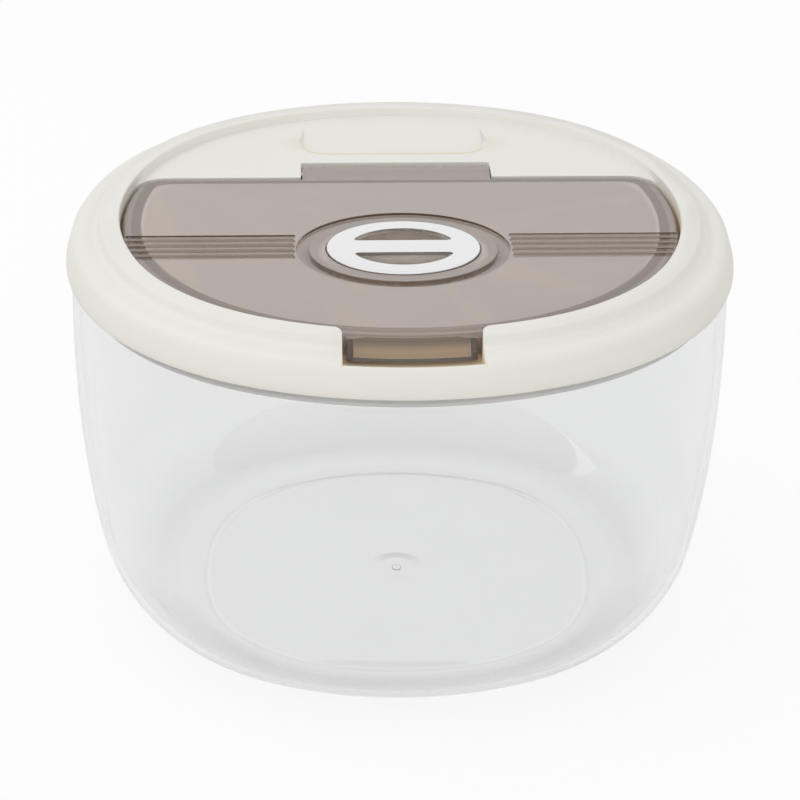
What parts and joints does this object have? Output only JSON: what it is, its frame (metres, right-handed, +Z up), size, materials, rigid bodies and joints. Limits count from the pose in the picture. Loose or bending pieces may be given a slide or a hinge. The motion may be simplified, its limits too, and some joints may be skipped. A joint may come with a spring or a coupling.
{
  "type": "vacuum seal canister",
  "caption": "Clear rounded food canister with a cream press-on lid, hinged smoke-coloured pouring flap and a sprung vent button under an oval grille ring.",
  "frame": {"origin": "middle of the foot's ring, on the surface that the canister stands on", "axes": "+Z up, +Y towards the flap's hinge, -Y towards the finger tab, +X to the right seen from the tab"},
  "size_m": [0.2192, 0.2192, 0.1401],
  "materials": {
    "clear_plastic": "clear polished moulded plastic",
    "cream_plastic": "satin moulded plastic",
    "pale_plastic": "smooth moulded plastic",
    "smoke_plastic": "smoke-brown translucent moulded plastic",
    "silicone": "soft matte silicone",
    "plated_metal": "bright plating",
    "steel": "drawn wire"
  },
  "bodies": {
    "bowl": {"bowl": "clear_plastic"},
    "lid": {"lid_cover": "cream_plastic", "lid_liner": "pale_plastic", "lid_gasket": "silicone", "hinge_pin": "steel"},
    "flap": {"flap": "smoke_plastic", "flap_liner": "pale_plastic", "flap_gasket": "silicone", "umbrella_valve": "silicone", "vent_spring": "steel"},
    "button": {"vent_button": "smoke_plastic", "vent_ring": "plated_metal", "button_stem": "smoke_plastic", "stem_seal": "silicone", "stem_clip": "steel"}
  },
  "joints": [
    {"name": "lid_lift", "type": "slide", "parent": "bowl", "child": "lid", "axis": [0, 0, 1], "range_m": [0, 0.06]},
    {"name": "flap_hinge", "type": "hinge", "parent": "lid", "child": "flap", "pos_m": [0, 0.04175, 0.1341], "axis": [-1, 0, 0], "range_deg": [0, 105]},
    {"name": "vent_press", "type": "slide", "parent": "flap", "child": "button", "axis": [0, 0, 1], "range_m": [-0.002, 0], "stiffness_N_per_m": 400, "deforming": ["vent_spring"]}
  ]
}
